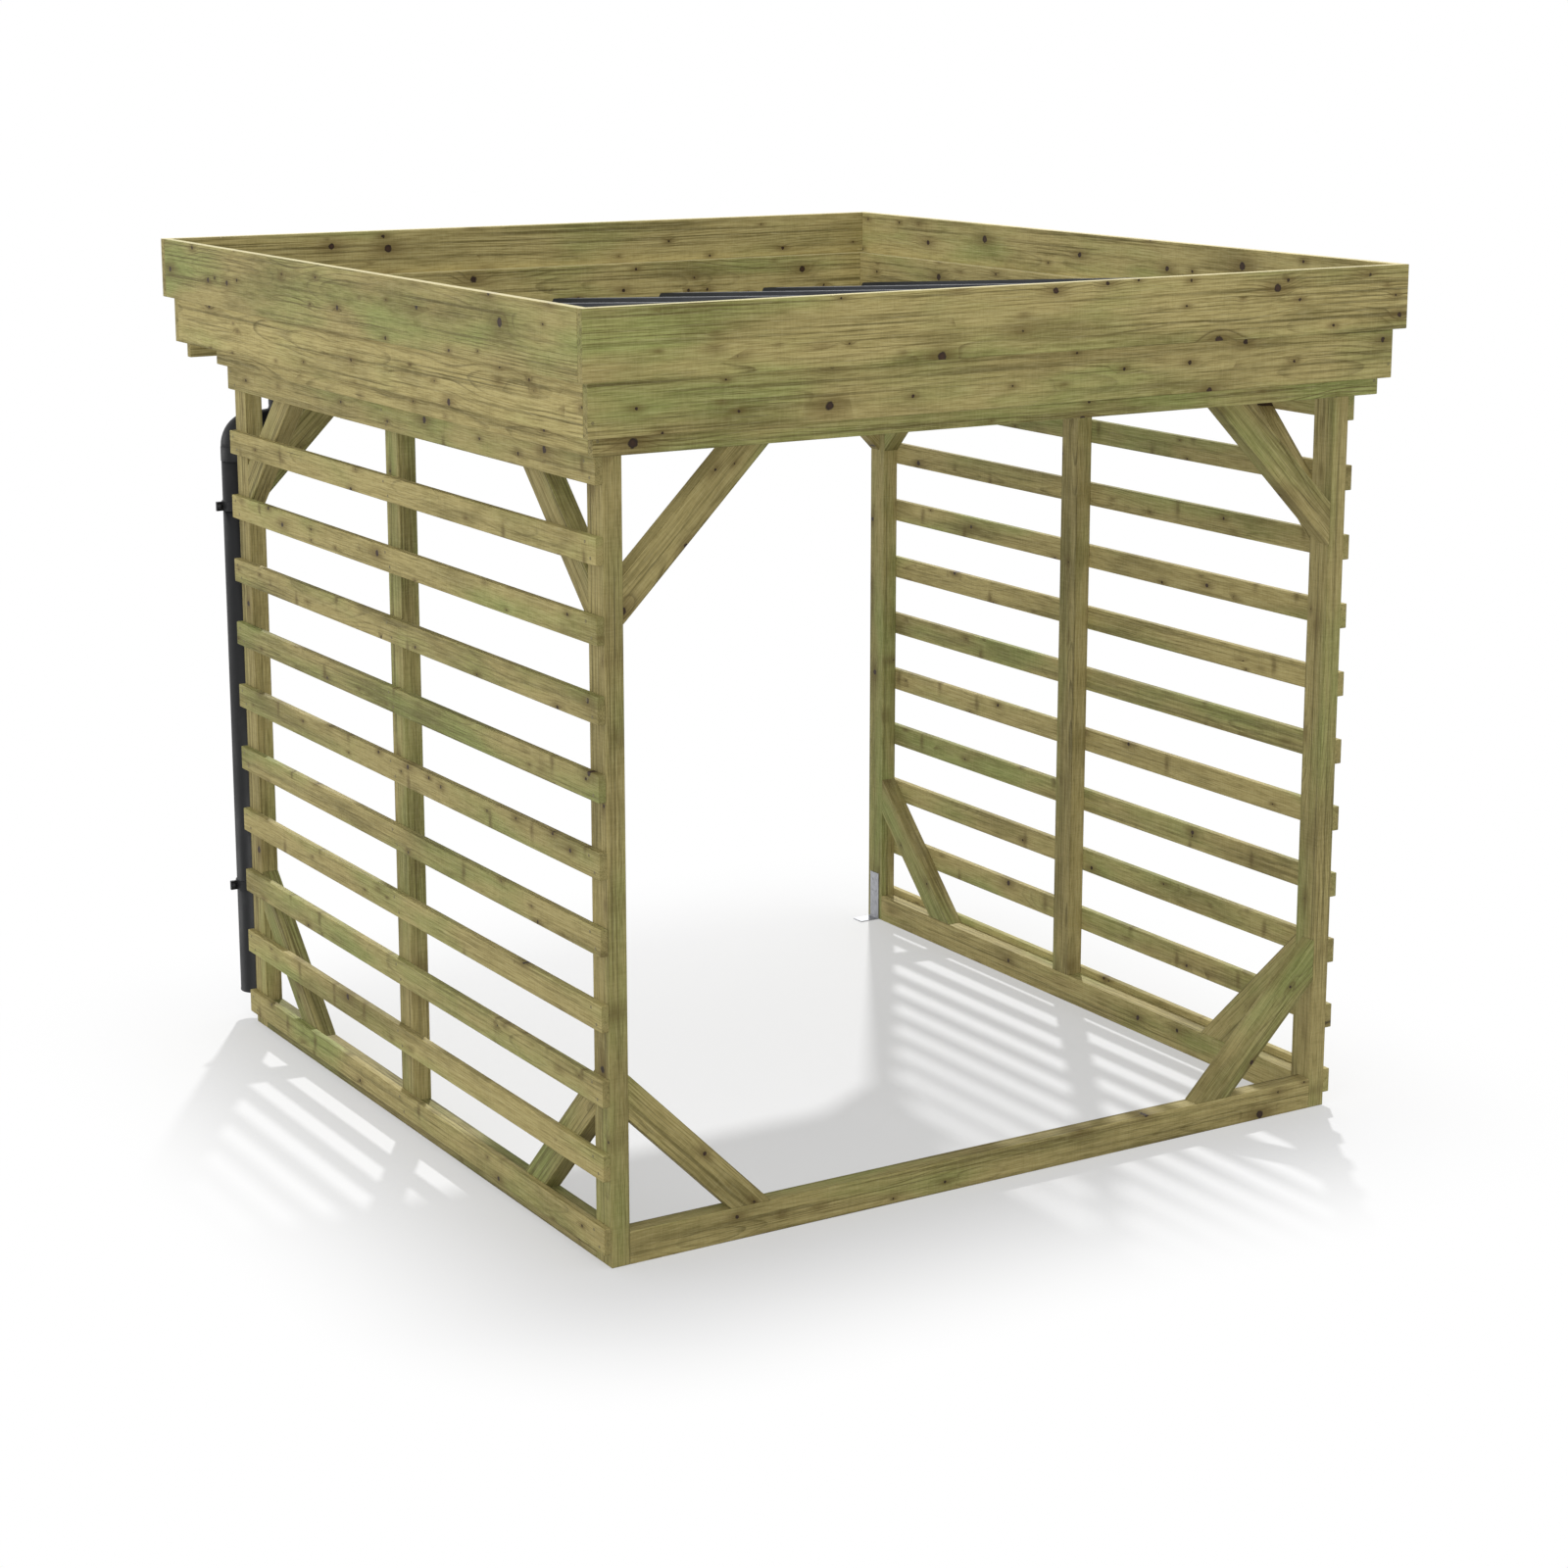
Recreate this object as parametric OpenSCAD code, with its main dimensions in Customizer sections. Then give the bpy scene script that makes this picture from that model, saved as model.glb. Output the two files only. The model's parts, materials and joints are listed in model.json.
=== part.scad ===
// Log store: an open timber frame with slatted sides, a three-tier parapet and a ribbed roof draining to the back.
// Millimetres, Z up, X across the front, Y from front to back, the origin on the ground under the middle.

/* [Frame] */
// width over the corner posts
frame_w = 2000; // [1200:50:3600]
// depth over the corner posts
frame_d = 2000; // [1200:50:3600]
// height of the corner posts
post_h = 1765; // [1500:5:2200]
// thickness of posts, rails, beams and braces
timber_t = 45; // [38:1:60]
// depth of a post from front to back
post_d = 70; // [60:1:100]
// height of the sills
sill_h = 75; // [60:1:120]
// height of the two loose purlins under the roof
purlin_h = 70; // [45:1:120]

/* [Braces] */
// width of a brace board
brace_w = 72; // [45:1:120]
// reach of a brace from the corner
brace_reach = 356; // [200:1:450]

/* [Slats] */
// number of slats on a side
slat_count = 11; // [4:1:20]
// height of a slat
slat_h = 60; // [40:1:100]
// thickness of a slat
slat_t = 18; // [12:1:28]
// height of the lowest slat above the ground
slat_first = 32; // [0:1:100]
// gap between the top slat and the post tops
slat_gap = 1; // [0:1:40]

/* [Parapet] */
// reach of the upper boards past the posts at the sides and front
eave_reach = 90; // [80:1:140]
// reach of the upper boards past the posts at the back
back_reach = 250; // [220:5:400]
// thickness of a parapet board
board_t = 22; // [18:1:25]
// height of an upper board
upper_h = 150; // [100:1:220]
// lap of the upper boards over the middle ones
upper_lap = 34; // [15:1:60]
// height of a middle board
middle_h = 150; // [100:1:220]
// lap of the middle boards over the lower ones
middle_lap = 25; // [15:1:60]
// gap between the post tops and the lower boards
lower_gap = 4; // [0:1:40]
// height of a lower board
lower_h = 65; // [45:1:120]

/* [Roof] */
// underside of the sheet above the post tops, at the front face of the posts
roof_rise = 247; // [220:1:320]
// fall of the sheet towards the back, as a ratio
roof_ratio = 0.08; // [0.02:0.01:0.1]
// reach of the sheet past the front of the posts
roof_front = 40; // [20:1:44]
// reach of the sheet past the back of the posts
roof_back = 120; // [90:1:150]
// thickness of the sheet
sheet_t = 1.2; // [0.6:0.1:2]
// number of ribs
rib_count = 7; // [3:1:12]
// flat edge of the sheet beside the outer ribs
rib_edge = 1; // [0.5:0.5:40]
// height of a rib
rib_h = 36; // [15:1:45]
// width of a rib at its foot
rib_foot = 58; // [30:1:90]
// width of a rib at its top
rib_top = 24; // [10:1:60]
// gap between sheet and side boards
sheet_gap = 2; // [1:0.5:6]

/* [Drainage] */
// radius of the gutter outside
gutter_r = 60; // [40:1:70]
// wall of gutter and pipe
pipe_wall = 2; // [1:0.1:3]
// gutter centre behind the posts
gutter_back = 95; // [80:1:120]
// ends of the gutter in from the outer faces of the posts
gutter_in = 20; // [0:1:60]
// gap between the sheet and the rim of the gutter
rim_gap = 6; // [4:1:30]
// radius of the downpipe outside
pipe_r = 40; // [30:1:50]
// downpipe centre behind the posts
pipe_back = 62; // [50:1:70]
// foot of the downpipe above the ground
pipe_foot = 70; // [20:1:300]
// radius of the bends at the middle of the pipe
bend_r = 46; // [45:1:90]
// angle of the bends
bend_deg = 87; // [40:1:89]
// straight run between the two bends
neck_run = 67; // [40:1:400]
// facets around the bent neck
neck_sides = 32; // [16:4:48]
// facets along each bend
neck_steps = 6; // [3:1:10]
// gap between the riser and the gutter
riser_gap = 17; // [5:1:30]
// length of the gutter outlet inside the riser
outlet_l = 34; // [20:1:60]
// straight riser from the upper bend to the gutter outlet
riser_l = 118; // [20:1:200]
// height of a pipe clip
clip_h = 24; // [15:1:40]
// thickness of the clip band
clip_t = 2.5; // [1.5:0.1:4]
// middle of the lower clip
clip_low = 368; // [150:1:800]
// upper clip below the first bend
clip_drop = 155; // [60:1:600]
// length of the clamping ear of a clip
ear_l = 20; // [10:1:40]
// thickness of the clamping ear
ear_t = 8; // [4:1:16]
// width of the stem between clip and post
stem_w = 12; // [8:1:30]
// width of a gutter bracket
hook_w = 25; // [15:1:40]
// thickness of a gutter bracket
hook_t = 4; // [3:0.5:8]
// outer gutter brackets in from the ends of the gutter
hook_in = 72; // [30:1:90]

/* [Feet] */
// height of a foot bracket
foot_h = 140; // [80:1:200]
// floor leg of a foot bracket
foot_out = 62; // [40:1:100]
// width of a foot bracket
foot_w = 43; // [30:1:60]
// thickness of a foot bracket
foot_t = 2.5; // [2:0.5:5]

/* [Hidden] */
$fn = 48;
part_d = frame_d + eave_reach + back_reach;
x_r = frame_w / 2;
x_l = -x_r;
y_f = eave_reach - part_d / 2;
y_b = y_f + frame_d;
y_m = y_f + frame_d / 2;
lower_low = post_h + lower_gap;
middle_low = lower_low + lower_h - middle_lap;
upper_low = middle_low + middle_h - upper_lap;
roof_z = post_h + roof_rise;
slat_step = (post_h - slat_gap - slat_h - slat_first) / (slat_count - 1);
middle_reach = eave_reach - board_t;
lower_reach = middle_reach - board_t;
pack_t = lower_reach - board_t;
back_middle = back_reach - board_t;
back_lower = back_middle - board_t;
fall_deg = atan(roof_ratio);
sheet_half = x_r + lower_reach - sheet_gap;
rib_step = (2 * (sheet_half - rib_edge) - rib_foot) / (rib_count - 1);
roof_run = (frame_d + roof_front + roof_back) / cos(fall_deg);
pipe_x = x_l + timber_t / 2;
pipe_y = y_b + pipe_back;
gutter_y = y_b + gutter_back;
neck_out = 2 * bend_r * (1 - cos(bend_deg)) + neck_run * sin(bend_deg);
neck_up = 2 * bend_r * sin(bend_deg) + neck_run * cos(bend_deg);
neck_deg = asin((gutter_y - pipe_y) / neck_out);
outlet_x = pipe_x + neck_out * cos(neck_deg);
gutter_rim = under(y_b + roof_back) - rim_gap;
bend_z = gutter_rim - gutter_r - riser_gap - riser_l - neck_up;
outlet_z = gutter_rim - gutter_r - riser_gap - outlet_l;
gutter_half = x_r - gutter_in;
eps = 1;

// Underside of the roof sheet above a place y.
function under(y) = roof_z - roof_ratio * (y - y_f);

// A square-cut timber between two corners.
module timber(x0, x1, y0, y1, z0, z1) {
    translate([x0, y0, z0])
        cube([x1 - x0, y1 - y0, z1 - z0]);
}

// An outline drawn in Y and Z, carried along X from x0 to x1.
module along_x(x0, x1) {
    translate([x0, 0, 0])
        rotate([90, 0, 90])
            linear_extrude(height = x1 - x0)
                children();
}

// An outline drawn in X and Z, carried along Y from y0 to y1.
module along_y(y0, y1) {
    translate([0, y1, 0])
        rotate([90, 0, 0])
            linear_extrude(height = y1 - y0)
                children();
}

// Outline of a 45 degree brace in the corner at u, v; su and sv say which way it opens.
module brace_outline(u, v, su, sv) {
    near = brace_reach - brace_w * sqrt(2);
    polygon([
        [u, v + sv * brace_reach],
        [u, v + sv * near],
        [u + su * near, v],
        [u + su * brace_reach, v]
    ]);
}

module post(x0, y0, z0) {
    timber(x0, x0 + timber_t, y0, y0 + post_d, z0, post_h);
}

module side_sill(x0) {
    timber(x0, x0 + timber_t, y_f + post_d, y_b - post_d, 0, sill_h);
}

module rail(x0) {
    along_x(x0, x0 + timber_t)
        polygon([[y_f, post_h], [y_b, post_h], [y_b, under(y_b)], [y_f, under(y_f)]]);
}

// A beam across the store between the rails, its top cut to the fall of the roof.
module beam(y0) {
    y1 = y0 + timber_t;
    along_x(x_l + timber_t, x_r - timber_t)
        polygon([[y0, post_h], [y1, post_h], [y1, under(y1)], [y0, under(y0)]]);
}

module purlin(y0) {
    y1 = y0 + timber_t;
    along_x(x_l + timber_t, x_r - timber_t)
        polygon([
            [y0, under(y0) - purlin_h], [y1, under(y1) - purlin_h],
            [y1, under(y1)], [y0, under(y0)]
        ]);
}

module slats(x0) {
    for (k = [0 : slat_count - 1])
        timber(x0, x0 + slat_t, y_f, y_b, slat_first + k * slat_step, slat_first + k * slat_step + slat_h);
}

// A pair of braces across the store, against the posts whose front face is at y0.
module cross_braces(y0, v, sv) {
    along_y(y0, y0 + timber_t) {
        brace_outline(x_l + timber_t, v, 1, sv);
        brace_outline(x_r - timber_t, v, -1, sv);
    }
}

// A pair of braces in a side wall.
module side_braces(x0, v, sv) {
    along_x(x0, x0 + timber_t) {
        brace_outline(y_f + post_d, v, 1, sv);
        brace_outline(y_b - post_d, v, -1, sv);
    }
}

// A parapet board along the front or back, its ends over the side boards.
module cross_board(reach, y0, z0, h) {
    timber(x_l - reach, x_r + reach, y0, y0 + board_t, z0, z0 + h);
}

// A parapet board along a side; s is -1 on the left and 1 on the right.
module side_board(s, reach, y0, y1, z0, h) {
    outer = x_r + reach;
    inner = outer - board_t;
    timber(min(s * outer, s * inner), max(s * outer, s * inner), y0, y1, z0, z0 + h);
}

// Outline of the ribbed sheet, valley tops at height 0.
module sheet_outline() {
    flank = atan2(rib_h, (rib_foot - rib_top) / 2);
    shift = sheet_t * tan(flank / 2);
    first = -(rib_count - 1) / 2 * rib_step;
    upper = [for (i = [0 : rib_count - 1], p = [
        [-rib_foot / 2, 0], [-rib_top / 2, rib_h], [rib_top / 2, rib_h], [rib_foot / 2, 0]
    ]) [first + i * rib_step + p[0], p[1]]];
    lower = [for (i = [rib_count - 1 : -1 : 0], p = [
        [rib_foot / 2 - shift, 0], [rib_top / 2 - shift, rib_h],
        [shift - rib_top / 2, rib_h], [shift - rib_foot / 2, 0]
    ]) [first + i * rib_step + p[0], p[1] - sheet_t]];
    polygon(concat(
        [[-sheet_half, 0]], upper, [[sheet_half, 0], [sheet_half, -sheet_t]],
        lower, [[-sheet_half, -sheet_t]]
    ));
}

module roof_sheet() {
    translate([0, y_f, roof_z])
        rotate([-fall_deg, 0, 0])
            translate([0, 0, sheet_t])
                along_y(-roof_front / cos(fall_deg), roof_run - roof_front / cos(fall_deg))
                    sheet_outline();
}

// Lower half of a disc in the plane of an outline.
module half_disc(r) {
    intersection() {
        circle(r = r);
        translate([-r - eps, -r - eps])
            square([2 * (r + eps), r + eps]);
    }
}

module gutter() {
    difference() {
        union() {
            translate([0, gutter_y, gutter_rim])
                along_x(-gutter_half, gutter_half)
                    half_disc(gutter_r);
            translate([outlet_x, gutter_y, outlet_z])
                cylinder(r = pipe_r - pipe_wall, h = gutter_rim - outlet_z - gutter_r / 2);
        }
        translate([pipe_wall - gutter_half, gutter_y, gutter_rim])
            rotate([0, 90, 0])
                cylinder(r = gutter_r - pipe_wall, h = 2 * (gutter_half - pipe_wall));
        translate([outlet_x, gutter_y, outlet_z - eps])
            cylinder(r = pipe_r - 2 * pipe_wall, h = gutter_rim - outlet_z);
    }
}

// A hanger under the gutter with a flat leg on the back beam.
module gutter_bracket(x) {
    leg_low = gutter_rim - gutter_r - hook_t;
    difference() {
        union() {
            translate([0, gutter_y, gutter_rim])
                along_x(x - hook_w / 2, x + hook_w / 2)
                    half_disc(gutter_r + hook_t);
            timber(x - hook_w / 2, x + hook_w / 2, y_b, y_b + hook_t, leg_low, gutter_rim);
            timber(x - hook_w / 2, x + hook_w / 2, y_b, gutter_y, leg_low, leg_low + hook_t);
        }
        translate([x - hook_w, gutter_y, gutter_rim])
            rotate([0, 90, 0])
                cylinder(r = gutter_r, h = 2 * hook_w);
    }
}

module downpipe() {
    translate([pipe_x, pipe_y, pipe_foot])
        difference() {
            cylinder(r = pipe_r, h = bend_z - pipe_foot);
            translate([0, 0, -eps])
                cylinder(r = pipe_r - pipe_wall, h = bend_z - pipe_foot + 2 * eps);
        }
}

// The two bends between pipe and gutter as one swept tube: each station is [out, up, lean].
module pipe_neck() {
    step = bend_deg / neck_steps;
    way = concat(
        [for (i = [0 : neck_steps]) [bend_r * (1 - cos(i * step)), bend_r * sin(i * step), i * step]],
        [for (i = [neck_steps : -1 : 0])
            [neck_out - bend_r * (1 - cos(i * step)), neck_up - bend_r * sin(i * step), i * step]],
        [[neck_out, neck_up + riser_l, 0]]
    );
    n = len(way);
    m = neck_sides;
    spots = [for (r = [pipe_r, pipe_r - pipe_wall], w = way, j = [0 : m - 1])
        [w[0] + r * cos(j * 360 / m) * cos(w[2]), r * sin(j * 360 / m), w[1] - r * cos(j * 360 / m) * sin(w[2])]];
    outer = [for (i = [0 : n - 2], j = [0 : m - 1]) let (a = i * m + j, b = i * m + (j + 1) % m)
        each [[a, b + m, b], [a, a + m, b + m]]];
    inner = [for (i = [0 : n - 2], j = [0 : m - 1]) let (a = (n + i) * m + j, b = (n + i) * m + (j + 1) % m)
        each [[a, b, b + m], [a, b + m, a + m]]];
    foot = [for (j = [0 : m - 1]) let (k = (j + 1) % m)
        each [[j, k, n * m + k], [j, n * m + k, n * m + j]]];
    head = [for (j = [0 : m - 1]) let (t = (n - 1) * m, k = (j + 1) % m)
        each [[t + j, n * m + t + k, t + k], [t + j, n * m + t + j, n * m + t + k]]];
    translate([pipe_x, pipe_y, bend_z])
        rotate([0, 0, neck_deg])
            polyhedron(points = spots, faces = concat(outer, inner, foot, head));
}

module pipe_clip(z) {
    translate([pipe_x, pipe_y, z - clip_h / 2])
        difference() {
            union() {
                cylinder(r = pipe_r + clip_t, h = clip_h);
                translate([-pipe_r - ear_l, -ear_t / 2, 0])
                    cube([ear_l, ear_t, clip_h]);
                translate([-stem_w / 2, -pipe_back, 0])
                    cube([stem_w, pipe_back - pipe_r, clip_h]);
            }
            translate([0, 0, -eps])
                cylinder(r = pipe_r, h = clip_h + 2 * eps);
        }
}

// A foot bracket in the angle of a back post; s is -1 on the left and 1 on the right.
module foot_bracket(s) {
    face = s * (x_r - timber_t);
    near = face - s * foot_t;
    far = face - s * foot_out;
    y0 = y_b - post_d / 2 - foot_w / 2;
    union() {
        timber(min(face, near), max(face, near), y0, y0 + foot_w, 0, foot_h);
        timber(min(face, far), max(face, far), y0, y0 + foot_w, 0, foot_t);
    }
}

color("olivedrab") post(x_l, y_f, 0);  // post_front_left
color("olivedrab") post(x_r - timber_t, y_f, 0);  // post_front_right
color("olivedrab") post(x_l, y_m, sill_h);  // post_middle_left
color("olivedrab") post(x_r - timber_t, y_m, sill_h);  // post_middle_right
color("olivedrab") post(x_l, y_b - post_d, 0);  // post_back_left
color("olivedrab") post(x_r - timber_t, y_b - post_d, 0);  // post_back_right
color("darkkhaki") timber(x_l + timber_t, x_r - timber_t, y_f, y_f + timber_t, 0, sill_h);  // front_sill
color("darkkhaki") side_sill(x_l);  // left_sill
color("darkkhaki") side_sill(x_r - timber_t);  // right_sill
color("tan") rail(x_l);  // left_rail
color("tan") rail(x_r - timber_t);  // right_rail
color("tan") beam(y_f);  // front_beam
color("tan") beam(y_b - timber_t);  // back_beam
color("tan") {  // purlins
        purlin(y_f + (frame_d - timber_t) / 3);
        purlin(y_f + (frame_d - timber_t) * 2 / 3);
    }
color("khaki") slats(x_l - slat_t);  // left_slats
color("khaki") slats(x_r);  // right_slats
color("burlywood") cross_braces(y_f, post_h, -1);  // front_upper_braces
color("burlywood") cross_braces(y_f, sill_h, 1);  // front_lower_braces
color("burlywood") side_braces(x_l, post_h, -1);  // left_upper_braces
color("burlywood") side_braces(x_l, sill_h, 1);  // left_lower_braces
color("burlywood") side_braces(x_r - timber_t, post_h, -1);  // right_upper_braces
color("burlywood") side_braces(x_r - timber_t, sill_h, 1);  // right_lower_braces
color("burlywood") cross_braces(y_b - timber_t, post_h, -1);  // back_upper_braces
color("olive") cross_board(eave_reach, y_f - eave_reach, upper_low, upper_h);  // upper_front_board
color("olive") cross_board(eave_reach, y_b + back_middle, upper_low, upper_h);  // upper_back_board
color("olive") side_board(-1, eave_reach, y_f - middle_reach, y_b + back_middle, upper_low, upper_h);  // upper_left_board
color("olive") side_board(1, eave_reach, y_f - middle_reach, y_b + back_middle, upper_low, upper_h);  // upper_right_board
color("olive") cross_board(middle_reach, y_f - middle_reach, middle_low, middle_h);  // middle_front_board
color("olive") cross_board(middle_reach, y_b + back_lower, middle_low, middle_h);  // middle_back_board
color("olive") side_board(-1, middle_reach, y_f - lower_reach, y_b + back_lower, middle_low, middle_h);  // middle_left_board
color("olive") side_board(1, middle_reach, y_f - lower_reach, y_b + back_lower, middle_low, middle_h);  // middle_right_board
color("olive") cross_board(lower_reach, y_f - lower_reach, lower_low, lower_h);  // lower_front_board
color("olive") cross_board(lower_reach, y_b + back_lower - board_t, lower_low, lower_h);  // lower_back_board
color("olive") side_board(-1, lower_reach, y_f - pack_t, y_b, lower_low, lower_h);  // lower_left_board
color("olive") side_board(1, lower_reach, y_f - pack_t, y_b, lower_low, lower_h);  // lower_right_board
color("peru") timber(x_l, x_r, y_f - pack_t, y_f, lower_low, lower_low + lower_h);  // front_packer
color("peru") {  // side_packers
        timber(x_l - pack_t, x_l, y_f - pack_t, y_b, lower_low, lower_low + lower_h);
        timber(x_r, x_r + pack_t, y_f - pack_t, y_b, lower_low, lower_low + lower_h);
    }
color("slategray") roof_sheet();
color("dimgray") gutter();
color("silver")  // gutter_brackets
        for (x = [-1, 0, 1])
            gutter_bracket(x * (gutter_half - hook_in));
color("dimgray") downpipe();
color("dimgray") pipe_neck();
color("gray") {  // pipe_clips
        pipe_clip(clip_low);
        pipe_clip(bend_z - clip_drop);
    }
color("silver") {  // foot_brackets
        foot_bracket(-1);
        foot_bracket(1);
    }
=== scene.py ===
"""Visual model of the log store: green-treated pine boards, a ribbed roof sheet, drainage and fixings.

Metres, in the frame of the solids: X across the front, Y from front to back, Z up.
"""
import json
import math
import random

import bmesh
import bpy
from mathutils import Matrix, Vector


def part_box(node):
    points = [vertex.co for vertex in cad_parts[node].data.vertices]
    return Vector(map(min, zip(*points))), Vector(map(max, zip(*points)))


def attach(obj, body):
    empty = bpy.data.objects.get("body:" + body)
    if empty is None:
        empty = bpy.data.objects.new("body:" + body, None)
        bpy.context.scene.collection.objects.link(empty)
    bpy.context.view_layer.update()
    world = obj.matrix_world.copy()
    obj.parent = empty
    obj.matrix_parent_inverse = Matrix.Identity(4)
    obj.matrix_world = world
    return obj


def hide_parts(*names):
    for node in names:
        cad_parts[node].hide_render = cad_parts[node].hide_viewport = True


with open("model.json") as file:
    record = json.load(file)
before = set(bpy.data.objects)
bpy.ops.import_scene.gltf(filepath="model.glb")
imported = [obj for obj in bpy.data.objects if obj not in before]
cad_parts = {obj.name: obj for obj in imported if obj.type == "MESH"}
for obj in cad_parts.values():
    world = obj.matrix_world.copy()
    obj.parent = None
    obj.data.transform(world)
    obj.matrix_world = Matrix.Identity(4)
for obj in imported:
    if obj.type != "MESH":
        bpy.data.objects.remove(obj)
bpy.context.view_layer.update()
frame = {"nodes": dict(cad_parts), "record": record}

# The finish of each solid, and the timber in the order in which its boards are dressed.
FINISH = {row["node"]: row["material_slot"] for row in frame["record"]["subparts"]}
TIMBER = [node for pine_slot in ("frame_pine", "slat_pine", "board_pine")
          for node, slot in FINISH.items() if slot == pine_slot]
STEEL_SLOTS = ("roof_steel", "drain_steel", "galvanised")

# Every board draws its seed and its tone from this.
BOARD_RANDOM = random.Random(11)

UP = Vector((0, 0, 1))


def srgb(red, green, blue):
    """A screen colour, 0 to 255, as a linear colour with alpha."""
    def linear(c):
        c /= 255
        return c / 12.92 if c <= 0.04045 else ((c + 0.055) / 1.055) ** 2.4
    return linear(red), linear(green), linear(blue), 1.0


# ---------------------------------------------------------------- node graphs

class Graph:
    """The node tree of a material or world. Each method adds nodes and returns an output."""

    def __init__(self, owner):
        owner.use_nodes = True
        self.nodes = owner.node_tree.nodes
        self.links = owner.node_tree.links
        self.nodes.clear()

    def feed(self, socket, value):
        if isinstance(value, bpy.types.NodeSocket):
            self.links.new(value, socket)
        else:
            socket.default_value = value

    def math(self, operation, *terms):
        node = self.nodes.new("ShaderNodeMath")
        node.operation = operation
        for socket, term in zip(node.inputs, terms):
            self.feed(socket, term)
        return node.outputs[0]

    def centred(self, value):
        """A value from 0 to 1 moved to lie around 0."""
        return self.math("SUBTRACT", value, 0.5)

    def vector(self, operation, *terms):
        node = self.nodes.new("ShaderNodeVectorMath")
        node.operation = operation
        for socket, term in zip(node.inputs, terms):
            self.feed(socket, term)
        return node.outputs["Value" if operation in ("LENGTH", "DOT_PRODUCT") else "Vector"]

    def join(self, x, y, z):
        node = self.nodes.new("ShaderNodeCombineXYZ")
        for socket, term in zip(node.inputs, (x, y, z)):
            self.feed(socket, term)
        return node.outputs[0]

    def split(self, vector):
        node = self.nodes.new("ShaderNodeSeparateXYZ")
        self.feed(node.inputs[0], vector)
        return node.outputs

    def attribute(self, name, kind="Fac"):
        node = self.nodes.new("ShaderNodeAttribute")
        node.attribute_name = name
        return node.outputs[kind]

    def place(self):
        """A point's place on the object."""
        return self.nodes.new("ShaderNodeTexCoord").outputs["Object"]

    def noise(self, vector, scale=1.0, detail=2.0, roughness=0.5):
        node = self.nodes.new("ShaderNodeTexNoise")
        self.feed(node.inputs["Vector"], vector)
        node.inputs["Scale"].default_value = scale
        node.inputs["Detail"].default_value = detail
        node.inputs["Roughness"].default_value = roughness
        return node.outputs["Fac"]

    def pattern(self, vector, rates, detail, roughness):
        """Noise that changes at its own rate along each axis."""
        return self.noise(self.vector("MULTIPLY", vector, rates), 1.0, detail, roughness)

    def cells(self, vector, scale=1.0):
        """A Voronoi node: its outputs hold each cell's Distance, Color and Position."""
        node = self.nodes.new("ShaderNodeTexVoronoi")
        self.feed(node.inputs["Vector"], vector)
        node.inputs["Scale"].default_value = scale
        return node.outputs

    def nearest(self, vector, spread):
        """The nearest of points spread at these mean distances: the way to it, and its random colour."""
        scaled = self.vector("DIVIDE", vector, spread)
        cell = self.cells(scaled)
        return self.vector("SUBTRACT", scaled, cell["Position"]), self.split(cell["Color"])

    def slope(self, value, start, end, low=0.0, high=1.0):
        """low up to start, high from end, smooth in between."""
        node = self.nodes.new("ShaderNodeMapRange")
        node.interpolation_type = "SMOOTHSTEP"
        for name, term in (("Value", value), ("From Min", start), ("From Max", end),
                           ("To Min", low), ("To Max", high)):
            self.feed(node.inputs[name], term)
        return node.outputs["Result"]

    def bell(self, squared):
        """A bell curve of a squared distance: 1 where it is 0, falling to 0 further out."""
        return self.math("EXPONENT", self.math("MULTIPLY", squared, -1.0))

    def mix(self, factor, first, second, blend="MIX"):
        node = self.nodes.new("ShaderNodeMix")
        node.data_type = "RGBA"
        node.blend_type = blend
        self.feed(node.inputs[0], factor)
        self.feed(node.inputs[6], first)
        self.feed(node.inputs[7], second)
        return node.outputs[2]

    def mix_shaders(self, factor, first, second):
        node = self.nodes.new("ShaderNodeMixShader")
        for socket, term in zip(node.inputs, (factor, first, second)):
            self.feed(socket, term)
        return node.outputs[0]


class Surface(Graph):
    """A material with one Principled shader."""

    def __init__(self, name):
        self.material = bpy.data.materials.new(name)
        super().__init__(self.material)
        self.shader = self.nodes.new("ShaderNodeBsdfPrincipled")
        output = self.nodes.new("ShaderNodeOutputMaterial")
        self.links.new(self.shader.outputs["BSDF"], output.inputs["Surface"])

    def bump(self, height, strength, distance):
        node = self.nodes.new("ShaderNodeBump")
        node.inputs["Strength"].default_value = strength
        node.inputs["Distance"].default_value = distance
        self.feed(node.inputs["Height"], height)
        self.feed(self.shader.inputs["Normal"], node.outputs["Normal"])


# ---------------------------------------------------------------- materials

# Colours of treated pine.
GREEN_PINE = srgb(150, 158, 88)
TAN_PINE = srgb(182, 166, 107)
SHADED_PINE = srgb(106, 95, 46)
LATE_WOOD = srgb(90, 78, 35)
DARK_STREAK = srgb(88, 78, 36)
PALE_STREAK = srgb(198, 186, 132)
DARK_FIBRE = srgb(90, 82, 43)
PALE_FIBRE = srgb(204, 196, 148)
DARK_SAWN = srgb(100, 94, 48)
PALE_SAWN = srgb(204, 194, 144)
WISP_BROWN = srgb(92, 74, 36)
HALO_BROWN = srgb(96, 77, 36)
KNOT_HEART = srgb(58, 38, 22)
KNOT_RIM = srgb(34, 22, 13)
TWIG_HEART = srgb(60, 44, 26)
TWIG_RIM = srgb(38, 28, 17)
CHECK_BROWN = srgb(54, 46, 26)
END_GRAIN = srgb(112, 104, 62)
WORN_EDGE = srgb(198, 188, 142)
# Painted light: a pale colour for the upward faces of the boards, standing in for the sun on their tops.
PAINTED_TOP_LIGHT = srgb(216, 206, 160)

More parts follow.
